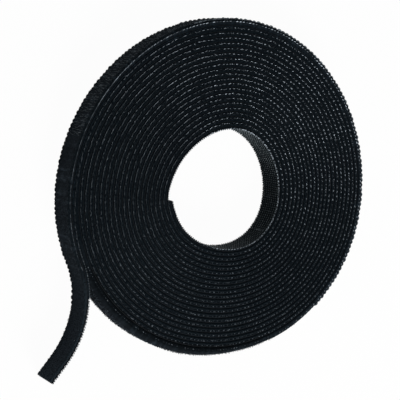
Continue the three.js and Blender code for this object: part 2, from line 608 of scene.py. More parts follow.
@dataclass(frozen=True)
class WovenFinish:
    """A tight plain weave of dyed filament yarn, which follows the tape.

    The selvedge runs from dark to light, the face of the tape has a colour of its own, on the loop tape
    partly a painted light, and the painted slot shade is the selvedge's shade on its half by the bond film's
    slot and on its half by the pile: a painted shade, darker by the slot.
    """

    name: str
    dark: Colour
    light: Colour
    face: Colour
    roughness: tuple[float, float]
    specular: float
    sheen: float
    painted_slot_shade: tuple[float, float]
    yarn_along: float = 0.42 * MM
    yarn_across: float = 0.36 * MM
    relief: float = 0.06 * MM
    relief_strength: float = 0.6
    between_yarns: float = 0.5
    grain: float = 0.7 * MM
    wear: tuple[float, float] = (0.3, 0.7)
    sheen_roughness: float = 0.5
    tail_painted_lift: float = 0.6
    tail_bare: float = 0.3
    stoop_shade: float = 0.4

    def material(self) -> bpy.types.Material:
        """Makes the material: yarns over and under each other, with uneven dye and wear, painted light on the
        tail, and painted shade by the slot and where the last turn's free pile rises.

        Returns:
            The material.
        """
        graph = ShaderGraph(self.name)
        weave = self._weave(graph)
        uneven = graph.noise(self.grain, 2.0)
        shade = graph.math("MULTIPLY", weave, graph.spread(uneven, 0.0, 1.0, *self.wear))
        # painted shade: the selvedge is darker on its half by the slot between the layers
        shade = graph.math("MULTIPLY", shade, graph.spread(graph.attribute("loft"), *self.painted_slot_shade))
        # painted light: the woven colour is raised on the tail
        tail_painted_lift = graph.math("MULTIPLY", graph.attribute("tail"), self.tail_painted_lift)
        shade = graph.math("MAXIMUM", shade, tail_painted_lift)
        edge = graph.mix(self._selvedge(graph), (*self.face, 1.0), graph.tint(shade, self.dark, self.light))
        # painted shade: darker where the last turn's free pile stands above its selvedges
        shadow = graph.spread(graph.attribute("stoop"), 1.0, self.stoop_shade)
        graph.join(graph.paler(graph.scaled(edge, shadow)), "Base Color")
        graph.join(graph.spread(uneven, *self.roughness), "Roughness")
        graph.bump(weave, self.relief, self.relief_strength)
        graph.set(Specular_IOR_Level=self.specular, Sheen_Weight=self.sheen,
                  Sheen_Roughness=self.sheen_roughness)
        return graph.material

    def _weave(self, graph: ShaderGraph) -> bpy.types.NodeSocket:
        """Makes the height of the weave: yarns along the tape over and under those across it.

        Args:
            graph: the material's graph.

        Returns:
            The height, full on the yarns and lower between them.
        """
        place = graph.node("ShaderNodeSeparateXYZ", {0: graph.node("ShaderNodeTexCoord").outputs["Object"]})
        yarns = ((graph.attribute("along"), self.yarn_along), (place.outputs["Z"], self.yarn_across))
        along, across = (
            graph.math("SINE", graph.math("MULTIPLY", way, math.tau / length)) for way, length in yarns)
        return graph.spread(graph.math("MULTIPLY", along, across), self.between_yarns, 1.0)

    def _selvedge(self, graph: ShaderGraph) -> bpy.types.NodeSocket:
        """Finds the selvedge: the edges of the tape, apart from the free pile on the last turn and the tail.

        Args:
            graph: the material's graph.

        Returns:
            1 on the selvedge, 0 on the face and between them where the tail's pile is part bare.
        """
        tail = graph.attribute("tail")
        bare = graph.math("MULTIPLY", graph.attribute("free"), graph.attribute("loft"))
        bare = graph.math("MULTIPLY", bare, graph.spread(tail, 1.0, self.tail_bare))
        wound = graph.math("MULTIPLY", graph.attribute("shoulder"), graph.spread(tail, 1.0, 0.0))
        bare = graph.math("MULTIPLY", bare, graph.math("SUBTRACT", 1.0, wound))
        covered = graph.math("SUBTRACT", 1.0, bare)
        return graph.math("MULTIPLY", graph.math("ABSOLUTE", graph.attribute("reach")), covered)


@dataclass(frozen=True)
class PileFinish:
    """Soft brushed loops of matte yarn."""

    name: str
    dark: Colour
    light: Colour
    specular: float
    sheen: float
    fibre: float = 0.25 * MM
    fibre_strength: float = 0.7
    tuft: float = 1.4 * MM
    contrast: tuple[float, float] = (-0.2, 1.8)
    roughness: tuple[float, float] = (0.85, 1.0)
    sheen_roughness: float = 0.6

    def material(self) -> bpy.types.Material:
        """Makes the material: fine fibres in uneven tufts.

        Returns:
            The material.
        """
        graph = ShaderGraph(self.name)
        fibres = graph.noise(self.fibre, 4.0)
        tufts = graph.noise(self.tuft, 2.0)
        shade = graph.spread(graph.math("MULTIPLY", fibres, tufts), *self.contrast)
        graph.join(graph.paler(graph.tint(shade, self.dark, self.light)), "Base Color")
        graph.join(graph.spread(fibres, *self.roughness), "Roughness")
        graph.bump(fibres, self.fibre, self.fibre_strength)
        graph.set(Specular_IOR_Level=self.specular, Sheen_Weight=self.sheen,
                  Sheen_Roughness=self.sheen_roughness)
        return graph.material


@dataclass(frozen=True)
class YarnFinish:
    """Bare filament yarn whose gloss is painted into its colour as glints, brighter on some pieces than on
    others.
    """

    name: str
    dark: Colour
    light: Colour
    roughness: tuple[float, float]
    specular: float
    strand: float = 0.12 * MM
    strand_gain: tuple[float, float] = (0.5, 1.5)
    strand_strength: float = 0.3
    patch: float = 5 * MM
    patch_gain: tuple[float, float] = (0.7, 1.2)
    patch_range: tuple[float, float] = (0.35, 0.65)

    def material(self) -> bpy.types.Material:
        """Makes the material: painted glints, pale colour that stands in for gloss, which differ from yarn to
        yarn and in patches, over fine strands.

        Returns:
            The material.
        """
        graph = ShaderGraph(self.name)
        strands = graph.noise(self.strand, 2.0)
        patches = graph.spread(graph.noise(self.patch, 1.0), *self.patch_gain, *self.patch_range)
        shine = graph.math("MULTIPLY", graph.attribute("shine"), patches)
        shade = graph.math("MULTIPLY", shine, graph.spread(strands, *self.strand_gain))
        graph.join(graph.tint(shade, self.dark, self.light), "Base Color")
        graph.join(graph.spread(shine, *self.roughness), "Roughness")
        graph.bump(strands, self.strand, self.strand_strength)
        graph.set(Specular_IOR_Level=self.specular)
        return graph.material


@dataclass(frozen=True)
class FilmFinish:
    """A thin layer of dried adhesive."""

    name: str
    dark: Colour
    light: Colour
    roughness: tuple[float, float]
    specular: float = 0.3
    grain: float = 0.8 * MM
    relief: float = 0.05 * MM
    relief_strength: float = 0.4

    def material(self) -> bpy.types.Material:
        """Makes the material: slightly uneven and satin.

        Returns:
            The material.
        """
        graph = ShaderGraph(self.name)
        grain = graph.noise(self.grain, 3.0)
        graph.join(graph.tint(grain, self.dark, self.light), "Base Color")
        graph.join(graph.spread(grain, *self.roughness), "Roughness")
        graph.bump(grain, self.relief, self.relief_strength)
        graph.set(Specular_IOR_Level=self.specular)
        return graph.material


class GeometryTree:
    """Builds one geometry tree, with named inputs for its sizes."""

    def __init__(self, name: str) -> None:
        """Starts a tree with a geometry input and output.

        Args:
            name: the tree's name.
        """
        self.tree = bpy.data.node_groups.new(name, "GeometryNodeTree")
        self.identifiers: dict[str, str] = {}
        for way in ("INPUT", "OUTPUT"):
            self.tree.interface.new_socket("Geometry", in_out=way, socket_type="NodeSocketGeometry")
        self.entry = self.tree.nodes.new("NodeGroupInput")
        self.exit = self.tree.nodes.new("NodeGroupOutput")

    def input(self, name: str, kind: str) -> bpy.types.NodeSocket:
        """Adds a named input.

        Args:
            name: the input's name.
            kind: its socket type without the NodeSocket prefix.

        Returns:
            The socket inside the tree that carries its value.
        """
        item = self.tree.interface.new_socket(name, in_out="INPUT", socket_type=f"NodeSocket{kind}")
        self.identifiers[name] = item.identifier
        return self.entry.outputs[name]

    def node(self, kind: str, inputs: dict[str | int, Any] | None = None, **settings: Any) -> bpy.types.Node:
        """Adds a node; its arguments are those of add_node."""
        return add_node(self.tree, kind, inputs or {}, settings)

    def path(self) -> bpy.types.NodeSocket:
        """Turns the line of edges that comes in into a curve."""
        return self.node("GeometryNodeMeshToCurve", {0: self.entry.outputs["Geometry"]}).outputs[0]

    def held(self, name: str, kind: str = "FLOAT") -> bpy.types.NodeSocket:
        """Reads a value that the points hold."""
        return self.node("GeometryNodeInputNamedAttribute", {"Name": name}, data_type=kind).outputs[0]

    def heading(self, tangent: bpy.types.NodeSocket) -> bpy.types.NodeSocket:
        """Gives the plan angle of a level direction."""
        parts = self.node("ShaderNodeSeparateXYZ", {0: tangent})
        return self.math("ARCTAN2", parts.outputs["Y"], parts.outputs["X"])

    def turned(self, roll: Any, heading: Any, spin: Any) -> bpy.types.NodeSocket:
        """Gives a rotation: a spin about Z, then a roll about X, then a turn to a heading.

        Args:
            roll: the angle about X.
            heading: the plan angle.
            spin: the angle about Z.

        Returns:
            The rotation.
        """
        base = self.node("FunctionNodeEulerToRotation", {0: self.vector(x=roll, z=heading)}).outputs[0]
        spun = {0: base, 1: self.vector(z=spin)}
        return self.node("FunctionNodeRotateRotation", spun, rotation_space="LOCAL").outputs[0]

    def chance(self, low: Any, high: Any, seed: bpy.types.NodeSocket, draw: int = 0) -> bpy.types.NodeSocket:
        """Adds a random number between two values.

        Args:
            low: the lower value.
            high: the upper value.
            seed: the tree's own seed.
            draw: the number of this draw from the seed, which makes it differ from the others.

        Returns:
            A number for each point.
        """
        own_seed = self.math("ADD", seed, float(draw)) if draw else seed
        return self.node("FunctionNodeRandomValue", {2: low, 3: high, "Seed": own_seed}).outputs[1]

    def around(self, spread: bpy.types.NodeSocket, seed: bpy.types.NodeSocket,
               draw: int) -> bpy.types.NodeSocket:
        """Adds a random factor that differs from 1 by no more than a spread."""
        low, high = (self.math(way, 1.0, spread) for way in ("SUBTRACT", "ADD"))
        return self.chance(low, high, seed, draw)

    def added(self, first: Any, second: Any) -> bpy.types.NodeSocket:
        """Adds two vectors."""
        return self.node("ShaderNodeVectorMath", {0: first, 1: second}, operation="ADD").outputs[0]

    def store_painted_glint(self, instances: bpy.types.NodeSocket, shine: bpy.types.NodeSocket) -> bpy.types.NodeSocket:
        """Stores each yarn's painted glint, a random brightness for its colour, on its instance."""
        values = {"Geometry": instances, "Name": "shine", "Value": shine}
        return self.node("GeometryNodeStoreNamedAttribute", values, domain="INSTANCE").outputs[0]

    def math(self, operation: str, first: Any, second: Any = 0.0) -> bpy.types.NodeSocket:
        """Adds a Math node and gives its result."""
        return self.node("ShaderNodeMath", {0: first, 1: second}, operation=operation).outputs[0]

    def vector(self, x: Any = 0.0, y: Any = 0.0, z: Any = 0.0) -> bpy.types.NodeSocket:
        """Adds a vector of three numbers."""
        return self.node("ShaderNodeCombineXYZ", {0: x, 1: y, 2: z}).outputs[0]

    def scaled(self, vector: Any, factor: Any) -> bpy.types.NodeSocket:
        """Multiplies a vector by a number."""
        return self.node("ShaderNodeVectorMath", {0: vector, "Scale": factor}, operation="SCALE").outputs[0]

    def finish(self, geometry: bpy.types.NodeSocket, material: bpy.types.NodeSocket,
               smooth: Any = True) -> None:
        """Ends the tree: the shading, the instances made real and the material set.

        Args:
            geometry: the tree's result.
            material: the material's socket.
            smooth: whether the shading is smooth.
        """
        shading = {"Geometry": geometry, "Shade Smooth": smooth}
        shaded = self.node("GeometryNodeSetShadeSmooth", shading).outputs[0]
        real = self.node("GeometryNodeRealizeInstances", {"Geometry": shaded}).outputs[0]
        dressed = self.node("GeometryNodeSetMaterial", {"Geometry": real, "Material": material})
        self.tree.links.new(dressed.outputs[0], self.exit.inputs[0])

    def apply(self, piece: bpy.types.Object, values: dict[str, Any]) -> bpy.types.Object:
        """Runs the tree on a piece and keeps the result as the piece's plain mesh.

        Args:
            piece: the object whose mesh the tree starts from.
            values: a value for each named input.

        Returns:
            The piece.
        """
        modifier = piece.modifiers.new(self.tree.name, "NODES")
        modifier.node_group = self.tree
        for name, value in values.items():
            modifier[self.identifiers[name]] = value
        piece.update_tag()
        graph = bpy.context.evaluated_depsgraph_get()
        path, piece.data = piece.data, bpy.data.meshes.new_from_object(piece.evaluated_get(graph))
        piece.modifiers.clear()
        piece.data.name = piece.name
        bpy.data.meshes.remove(path)
        return piece


class StripTree(GeometryTree):
    """Sweeps a section along the tape's line, with small ripples along its selvedges."""

    def __init__(self) -> None:
        """Builds the tree."""
        super().__init__("tape_strip")
        section = self.input("Section", "Object")
        ripple = self.input("Ripple", "Float")
        material = self.input("Material", "Material")
        path = self.node("GeometryNodeSetCurveNormal", {0: self.path()}, mode="Z_UP").outputs[0]
        outline = self.node("GeometryNodeObjectInfo", {"Object": section}).outputs["Geometry"]
        profile = self.node("GeometryNodeMeshToCurve", {0: outline}).outputs[0]
        sweep = {"Curve": path, "Profile Curve": profile, "Fill Caps": True}
        strip = self.node("GeometryNodeCurveToMesh", sweep).outputs[0]
        rise = self.math("MULTIPLY", self.math("MULTIPLY", self.held("wave"), self.held("reach")), ripple)
        lower = self.math("SUBTRACT", self.held("swell"), self.held("brim"))
        swell = self.math("SUBTRACT", self.held("swell"), self.math("MULTIPLY", lower, self.held("shoulder")))
        loft = self.math("MULTIPLY", swell, self.held("loft"))
        swollen = self.scaled(self.held("outward", "FLOAT_VECTOR"), loft)
        shift = self.added(swollen, self.vector(z=rise))
        moved = self.node("GeometryNodeSetPosition", {"Geometry": strip, "Offset": shift})
        self.finish(moved.outputs[0], material)


class BeadTree(GeometryTree):
    """Sets slanted ovals of yarn, plump and smooth or thin and flat, in a row along the tape's line.

    On the side of the roll towards -X, where the selvedge lies flat, the ovals are drawn out, and their
    painted glint is dimmed there by a painted shade.
    """

    SEGMENTS = 6
    RINGS = 4
    CALM_SHADED_SIDE = (-0.966, 0.259, 0.0)
    CALM_SHADED_RANGE = (0.2, 0.95)
    SLANT_RANGE = (0.6, 1.4)

    def __init__(self) -> None:
        """Builds the tree."""
        super().__init__("yarn_row")
        spacing = self.input("Spacing", "Float")
        size = self.input("Size", "Vector")
        spread = self.input("Spread", "Float")
        slant = self.input("Slant", "Float")
        tilt = self.input("Tilt", "Float")
        facing = self.input("Facing", "Float")
        dullness = self.input("Dullness", "Float")
        smooth = self.input("Smooth", "Bool")
        stray = self.input("Stray", "Float")
        sway = self.input("Sway", "Float")
        stretch = self.input("Stretch", "Float")
        fade = self.input("Fade", "Float")
        seed = self.input("Seed", "Int")
        material = self.input("Material", "Material")
        tangent = self.node("GeometryNodeInputTangent").outputs[0]
        outward = self.held("outward", "FLOAT_VECTOR")
        evenly = {"Curve": self.path(), "Length": spacing}
        even = self.node("GeometryNodeResampleCurve", evenly, mode="LENGTH").outputs[0]
        along = self.scaled(tangent, self.math("MULTIPLY", stray, self.chance(-1.0, 1.0, seed, 3)))
        out = self.scaled(outward, self.math("MULTIPLY", sway, self.chance(-1.0, 1.0, seed, 4)))
        row = self.node("GeometryNodeSetPosition", {"Geometry": even, "Offset": self.added(along, out)})
        ball = {"Segments": self.SEGMENTS, "Rings": self.RINGS, "Radius": 0.5}
        oval = self.node("GeometryNodeMeshUVSphere", ball).outputs[0]
        side = self.node("ShaderNodeVectorMath", {0: outward, 1: self.CALM_SHADED_SIDE}, operation="DOT_PRODUCT")
        calm_shaded_from, calm_shaded_full = self.CALM_SHADED_RANGE
        calm_shading = {0: side.outputs["Value"], 1: calm_shaded_from, 2: calm_shaded_full}
        calm_shaded = self.node("ShaderNodeMapRange", calm_shading).outputs[0]
        longer = self.math("ADD", 1.0, self.math("MULTIPLY", calm_shaded, stretch))
        slanted = self.math("MULTIPLY", slant, self.chance(*self.SLANT_RANGE, seed))
        spin = self.math("DIVIDE", self.math("MULTIPLY", slanted, facing), longer)
        rotation = self.turned(self.math("MULTIPLY", tilt, facing), self.heading(tangent), spin)
        draw_out = {0: size, 1: self.vector(x=longer, y=1.0, z=1.0)}
        drawn = self.node("ShaderNodeVectorMath", draw_out, operation="MULTIPLY").outputs[0]
        scale = self.scaled(drawn, self.around(spread, seed, 1))
        placed = {"Points": row.outputs[0], "Instance": oval, "Rotation": rotation, "Scale": scale}
        yarns = self.node("GeometryNodeInstanceOnPoints", placed).outputs[0]
        # painted glints: a random brightness for each yarn, mostly dull
        bright = self.math("POWER", self.chance(0.0, 1.0, seed, 2), dullness)
        # painted shade: each yarn's painted glint is dimmed on the side of the roll towards -X
        painted_shade = self.math("SUBTRACT", 1.0, self.math("MULTIPLY", calm_shaded, fade))
        self.finish(self.store_painted_glint(yarns, self.math("MULTIPLY", bright, painted_shade)), material, smooth)


class TuftTree(GeometryTree):
    """Sets bent yarns, such as hooks or loops, in rows over one face of the tape."""

    def __init__(self) -> None:
        """Builds the tree."""
        super().__init__("yarn_field")
        spacing = self.input("Spacing", "Float")
        rows = self.input("Rows", "Int")
        span = self.input("Span", "Float")
        start, middle, end = (self.input(name, "Vector") for name in ("Start", "Middle", "End"))
        bends = self.input("Bends", "Int")
        yarn = self.input("Yarn", "Float")
        sides = self.input("Sides", "Int")
        facing = self.input("Facing", "Float")
        twist = self.input("Twist", "Float")
        spread = self.input("Spread", "Float")
        jitter = self.input("Jitter", "Float")
        seed = self.input("Seed", "Int")
        material = self.input("Material", "Material")
        curve = {"Resolution": bends, "Start": start, "Middle": middle, "End": end}
        bent = self.node("GeometryNodeCurveQuadraticBezier", curve).outputs[0]
        ring = self.node("GeometryNodeCurvePrimitiveCircle", {"Resolution": sides, "Radius": yarn}).outputs[0]
        sweep = {"Curve": bent, "Profile Curve": ring, "Fill Caps": True}
        shape = self.node("GeometryNodeCurveToMesh", sweep).outputs[0]
        evenly = {"Curve": self.path(), "Length": spacing}
        path = self.node("GeometryNodeResampleCurve", evenly, mode="LENGTH").outputs[0]
        level = self.node("GeometryNodeSetCurveNormal", {0: path}, mode="Z_UP").outputs[0]
        kept = self.node("GeometryNodeCaptureAttribute", {"Geometry": level}, domain="POINT")
        kept.capture_items.new("VECTOR", "Tangent")
        self.tree.links.new(self.node("GeometryNodeInputTangent").outputs[0], kept.inputs["Tangent"])
        tangent = kept.outputs["Tangent"]
        half = self.math("MULTIPLY", span, 0.5)
        ends = {"Start": self.vector(y=self.math("MULTIPLY", half, -1.0)), "End": self.vector(y=half)}
        across = self.node("GeometryNodeCurvePrimitiveLine", ends).outputs[0]
        lanes = self.node("GeometryNodeResampleCurve", {"Curve": across, "Count": rows}, mode="COUNT")
        faced = {"Curve": kept.outputs["Geometry"], "Profile Curve": lanes.outputs[0]}
        face = self.node("GeometryNodeCurveToMesh", faced).outputs[0]
        stray = self.math("MULTIPLY", self.chance(-1.0, 1.0, seed), jitter)
        rise = self.math("MULTIPLY", self.chance(-1.0, 1.0, seed, 1), jitter)
        shift = self.added(self.scaled(tangent, stray), self.vector(z=rise))
        strewn = self.node("GeometryNodeSetPosition", {"Geometry": face, "Offset": shift}).outputs[0]
        spin = self.math("MULTIPLY", twist, self.chance(-1.0, 1.0, seed, 2))
        rotation = self.turned(self.math("MULTIPLY", facing, math.pi / 2), self.heading(tangent), spin)
        scale = self.around(spread, seed, 3)
        placed = {"Points": strewn, "Instance": shape, "Rotation": rotation,
                  "Scale": self.vector(scale, scale, scale)}
        yarns = self.node("GeometryNodeInstanceOnPoints", placed).outputs[0]
        self.finish(self.store_painted_glint(yarns, self.chance(0.0, 1.0, seed, 4)), material)


@dataclass(frozen=True)
class YarnRow:
    """A row of short yarns along the selvedges: its reach along the tape, and their size and place.

    Slant and tilt are in degrees. Stray and sway move a yarn along and across the row by chance. On the side
    of the roll towards -X the yarns are longer by the stretch, and the fade dims their painted glint there as
    a painted shade.
    """

    name: str
    layer: Layer
    material: bpy.types.Material
    reach: Reach
    follows: Follows
    spacing: float
    size: Triple
    offset: float
    inset: float
    spread: float
    slant: float
    tilt: float
    dullness: float
    seed: int
    stray: float = 0.0
    sway: float = 0.0
    stretch: float = 0.0
    fade: float = 0.0
    smooth: bool = False


@dataclass(frozen=True)
class YarnField:
    """A field of bent yarns on one face: its reaches along the tape, and their spacing, bend and place.

    A yarn's bend is the start, the middle and the end of a curve, with X along the tape and Z off its face.
    The twist is in degrees. A stretch of tape carries the longest of the reaches that it meets.
    """

    name: str
    layer: Layer
    material: bpy.types.Material
    reaches: tuple[Reach, ...]
    spacing: float
    rows: int
    margin: float
    bend: tuple[Sequence[float], Sequence[float], Sequence[float]]
    bends: int
    yarn: float
    sides: int
    side: Side
    follows: Follows
    base: float
    twist: float
    spread: float
    jitter: float
    seed: int


@dataclass(frozen=True)
class Marks:
    """Where the rows and fields of yarn start and end.

    Angles are in degrees, wound before the peel line, or from the inner end for what lies in the bore.
    Distances are along the tape, from the peel line or, for the thread, to each side of its middle.
    """

    crown: float = 266.0
    loops: tuple[float, float] = (248.0, 95.0)
    nap: tuple[float, float] = (118.0, 40.0)
    shoulder: tuple[float, float] = (358.0, 270.0)
    bore_rim: tuple[float, float] = (68.0, 285.0)
    bore_thread: float = 132.5
    thread_half: float = 0.35 * MM
    crown_past_peel: float = 4 * MM
    nubs_past_peel: float = 16 * MM
    hooks_before_peel: float = 8 * MM


def line_object(name: str, points: np.ndarray, closed: bool,
                numbers: dict[str, np.ndarray]) -> bpy.types.Object:
    """Makes an object that holds a line of edges.

    Args:
        name: the object's name.
        points: the line's points, in order.
        closed: whether the last point joins the first.
        numbers: numbers, or vectors of three, for the points to carry, by name.

    Returns:
        The object, which no scene holds yet.
    """
    count = len(points)
    edges = [(i, (i + 1) % count) for i in range(count if closed else count - 1)]
    mesh = bpy.data.meshes.new(name)
    mesh.from_pydata(points.tolist(), edges, [])
    for key, values in numbers.items():
        kind, field = ("FLOAT", "value") if values.ndim == 1 else ("FLOAT_VECTOR", "vector")
        mesh.attributes.new(key, kind, "POINT").data.foreach_set(field, values.astype(np.float32).ravel())
    return bpy.data.objects.new(name, mesh)


class TapeRoll:
    """The whole tape: its wound roll, its inner end and its free tail, in their layers."""

    STRIP_STEP = 0.84 * MM
    BEND_HALF = 5.5 * MM
    SEAM_PAST_BEND = 7 * MM
    BEND_PAST_HINGE = 1 * MM
    SELVEDGE_CORNER = 0.14 * MM
    SELVEDGE_SUPPORT = 0.6 * MM
    RIPPLE = 0.05 * MM
    TAIL_TEETH = 3.0
    TAIL_FADE = 6 * MM
    FULL_STOOP = 1 * MM

    def __init__(self, tape: TapeSection, line: TapeLine) -> None:
        """Divides the tape into stretches and makes its finishes and trees.

        Args:
            tape: the tape's section.
            line: the line that it follows.
        """
        self.tape = tape
        self.line = line
        self.strip_tree = StripTree()
        self.bead_tree = BeadTree()
        self.tuft_tree = TuftTree()
        self.stretches = self._stretches()
        self.materials = self._materials()
        self.layers = {Layer.HOOK: self.materials["hook_weave"], Layer.BOND: self.materials["bond_film"],
                       Layer.LOOP: self.materials["loop_weave"]}
        marks = Marks()
        self.rows = self._rows(marks)
        self.fields = self._fields(marks)

    def _stretches(self) -> list[Stretch]:
        """Divides the tape where the bodies meet, with room for each bend.

        Returns:
            The stretches, from the inner end to the tip of the tail.
        """
        line = self.line
        flap = line.at_angle(line.winding.flap_angle)
        roll_start = flap + self.SEAM_PAST_BEND
        roll_end = line.wound_length - self.SEAM_PAST_BEND
        link = line.winding.tail_length / line.winding.tail_links
        seams = [line.wound_length + link * (k + 0.5) for k in range(line.winding.tail_links - 1)]
        bends = [line.tail_bend(k) for k in range(line.winding.tail_links)]
        half = self.BEND_HALF
        past = self.BEND_PAST_HINGE
        return [
            Stretch("inner_end", 0.0, roll_start, ("inner_end", "roll"), (flap - half, flap + past)),
            Stretch("roll", roll_start, roll_end, ("roll",)),
            Stretch("tail_base", roll_end, seams[0], ("roll", "tail_base"),
                    (bends[0] - past, bends[0] + half)),
            Stretch("tail_middle", seams[0], seams[1], ("tail_base", "tail_middle"),
                    (bends[1] - half, bends[1] + half)),
            Stretch("tail_tip", seams[1], line.length, ("tail_middle", "tail_tip"),
                    (bends[2] - half, bends[2] + half)),
        ]

    @staticmethod
    def _materials() -> dict[str, bpy.types.Material]:
        """Makes the materials of the layers, the pile and the yarns.

        Returns:
            The materials, by name.
        """
        finishes = (
            WovenFinish("hook_weave", dark=(0.0014, 0.003, 0.005), light=(0.012, 0.0192, 0.026),
                        face=(0.004, 0.007, 0.0092), roughness=(0.6, 0.8), specular=0.03, sheen=0.0,
                        painted_slot_shade=(0.9, 1.0)),
            # the loop face's paler colour is partly its own, as a brushed face is paler than the dense
            # selvedge, and partly a painted light on the upright faces
            WovenFinish("loop_weave", dark=(0.0015, 0.0032, 0.005), light=(0.0155, 0.0225, 0.028),
                        face=(0.019, 0.025, 0.0315), roughness=(0.8, 0.95), specular=0.02, sheen=0.0,
                        painted_slot_shade=(0.35, 1.2)),
            FilmFinish("bond_film", dark=(0.001, 0.0018, 0.0028), light=(0.004, 0.006, 0.008),
                       roughness=(0.6, 0.8)),
            PileFinish("loop_pile", dark=(0.0052, 0.0078, 0.0102), light=(0.0225, 0.031, 0.038),
                       specular=0.03, sheen=0.01),
            # painted light: a paler copy of the pile for the faces of the last turn and the tail
            PileFinish("brushed_pile", dark=(0.0165, 0.022, 0.028), light=(0.068, 0.083, 0.1),
                       specular=0.03, sheen=0.01),
            # painted highlight: a far paler copy of the pile for loops and nap that catch the light
            PileFinish("crest_pile", dark=(0.048, 0.06, 0.07), light=(0.2, 0.235, 0.26),
                       specular=0.03, sheen=0.01),
            # painted glints: this yarn has no gloss of its own, and its pale colour stands in for it
            YarnFinish("selvedge_yarn", dark=(0.012, 0.017, 0.021), light=(0.55, 0.625, 0.7),
                       roughness=(0.7, 0.5), specular=0.0),
            # painted glints on the hooks, over a gloss of their own
            YarnFinish("hook_yarn", dark=(0.025, 0.037, 0.044), light=(0.13, 0.16, 0.176),
                       roughness=(0.5, 0.35), specular=0.4),
        )
        return {finish.name: finish.material() for finish in finishes}

    def _rows(self, marks: Marks) -> list[YarnRow]:
        """Lists the rows of short yarns along the selvedges.

        Args:
            marks: where the rows start and end.

        Returns:
            The rows.
        """
        line = self.line
        yarn = self.materials["selvedge_yarn"]
        pile = self.materials["loop_pile"]
        whole = (0.0, line.length)
        last_turn = line.before_peel(line.winding.free_turn)
        crown_end = line.wound_length + marks.crown_past_peel
        crown = (line.before_peel(marks.crown), crown_end)
        rim_start, rim_end = (line.at_angle(angle) for angle in marks.bore_rim)
        shoulder_start, shoulder_end = (line.before_peel(angle) for angle in marks.shoulder)
        return [
            YarnRow("selvedge_yarn", Layer.HOOK, yarn, whole, Follows.TURN_BELOW,
                    spacing=1.75 * MM, size=(0.56 * MM, 0.24 * MM, 0.03 * MM),
                    offset=-0.6 * MM, inset=0.12 * MM,
                    spread=0.3, slant=20, tilt=-45, dullness=0.7, seed=11,
                    stray=0.3 * MM, sway=0.12 * MM, stretch=2.6, fade=0.72),
            YarnRow("glint_yarn", Layer.HOOK, yarn, whole, Follows.TURN_BELOW,
                    spacing=1.35 * MM, size=(0.4 * MM, 0.26 * MM, 0.04 * MM),
                    offset=-0.58 * MM, inset=0.1 * MM,
                    spread=0.3, slant=28, tilt=-45, dullness=2.4, seed=15,
                    stray=0.3 * MM, sway=0.2 * MM, stretch=0.6, fade=0.55),
            YarnRow("rim_yarn", Layer.HOOK, yarn, (rim_start, rim_end), Follows.TAPE,
                    spacing=1.2 * MM, size=(0.75 * MM, 0.26 * MM, 0.08 * MM),
                    offset=-0.64 * MM, inset=0.1 * MM,
                    spread=0.2, slant=8, tilt=-12, dullness=0.6, seed=21),
            YarnRow("edge_tufts", Layer.LOOP, pile, (0.0, last_turn), Follows.PILE,
                    spacing=1.75 * MM, size=(1.35 * MM, 0.55 * MM, 0.4 * MM),
                    offset=0.8 * MM, inset=0.27 * MM,
                    spread=0.2, slant=8, tilt=0, dullness=1.0, seed=31, smooth=True),
            YarnRow("crown_yarn", Layer.LOOP, yarn, crown, Follows.PILE,
                    spacing=1.3 * MM, size=(0.76 * MM, 0.36 * MM, 0.04 * MM),
                    offset=0.3 * MM, inset=0.06 * MM,
                    spread=0.25, slant=20, tilt=-45, dullness=0.9, seed=45, stretch=1.2, fade=0.68),
            YarnRow("shoulder_yarn", Layer.LOOP, yarn, (shoulder_start, shoulder_end), Follows.TAPE,
                    spacing=1.1 * MM, size=(0.66 * MM, 0.24 * MM, 0.03 * MM),
                    offset=0.98 * MM, inset=0.1 * MM,
                    spread=0.3, slant=20, tilt=-45, dullness=1.9, seed=47),
            YarnRow("tail_tufts", Layer.LOOP, pile, (crown_end, line.length), Follows.PILE,
                    spacing=1.5 * MM, size=(1.2 * MM, 0.8 * MM, 0.5 * MM), offset=0.4 * MM, inset=0.42 * MM,
                    spread=0.25, slant=8, tilt=0, dullness=1.0, seed=35, smooth=True),
        ]

